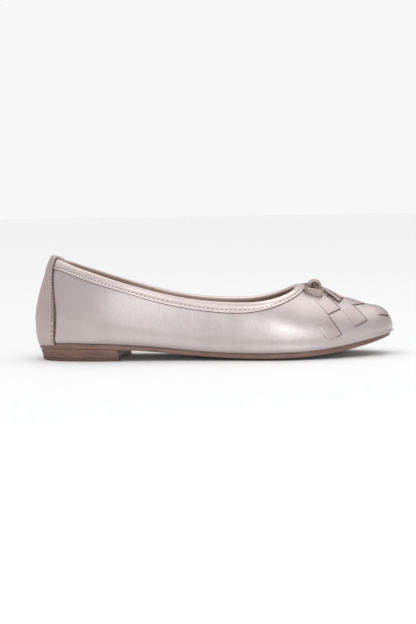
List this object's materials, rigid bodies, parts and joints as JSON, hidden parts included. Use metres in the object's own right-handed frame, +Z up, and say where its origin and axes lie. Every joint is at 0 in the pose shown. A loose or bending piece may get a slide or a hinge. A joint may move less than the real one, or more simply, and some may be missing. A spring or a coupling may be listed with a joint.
{
  "type": "ballet flat",
  "caption": "Right ballet flat in pearl metallic leather with a woven almond toe, bound topline, flat tape bow and a low stacked heel",
  "frame": {"origin": "on the ground under the middle of the shoe's overall box", "axes": "+X from heel to toe, +Y to the inner (medial) side of the right foot, +Z up"},
  "size_m": [0.2528, 0.0773, 0.0736],
  "materials": {
    "pearl_leather": "pearl metallic, smooth",
    "panel_leather": "satin metallic",
    "binding_leather": "pearl metallic, folded edge",
    "lining": "matt",
    "stiffener": "resin impregnated cloth",
    "board": "fibre board",
    "steel": "plain",
    "filler": "felt",
    "foam": "latex foam",
    "sole": "waxed edge",
    "top_piece": "matt",
    "thread": "polyester thread",
    "bow_tape": "metallic, raw brown edge"
  },
  "bodies": {
    "root": {"upper_leather": "pearl_leather", "heel_panel": "panel_leather", "topline_binding": "binding_leather", "vamp_lining": "lining", "quarter_lining": "lining", "vamp_interlining": "stiffener", "toe_puff": "stiffener", "heel_counter": "stiffener", "weave_strip_1": "pearl_leather", "weave_strip_2": "pearl_leather", "weave_strip_3": "pearl_leather", "weave_strip_4": "pearl_leather", "weave_strip_5": "pearl_leather", "insole_board": "board", "shank": "steel", "shank_rivets": "steel", "bottom_filler": "filler", "insock": "lining", "heel_pad": "foam", "outsole": "sole", "heel_lift_1": "sole", "heel_lift_2": "sole", "heel_lift_3": "sole", "heel_top_piece": "top_piece", "binding_stitching": "thread", "heel_panel_stitching": "thread", "bow_loops": "bow_tape", "bow_knot": "bow_tape", "bow_tails": "bow_tape", "bow_tack_thread": "thread"}
  },
  "joints": []
}
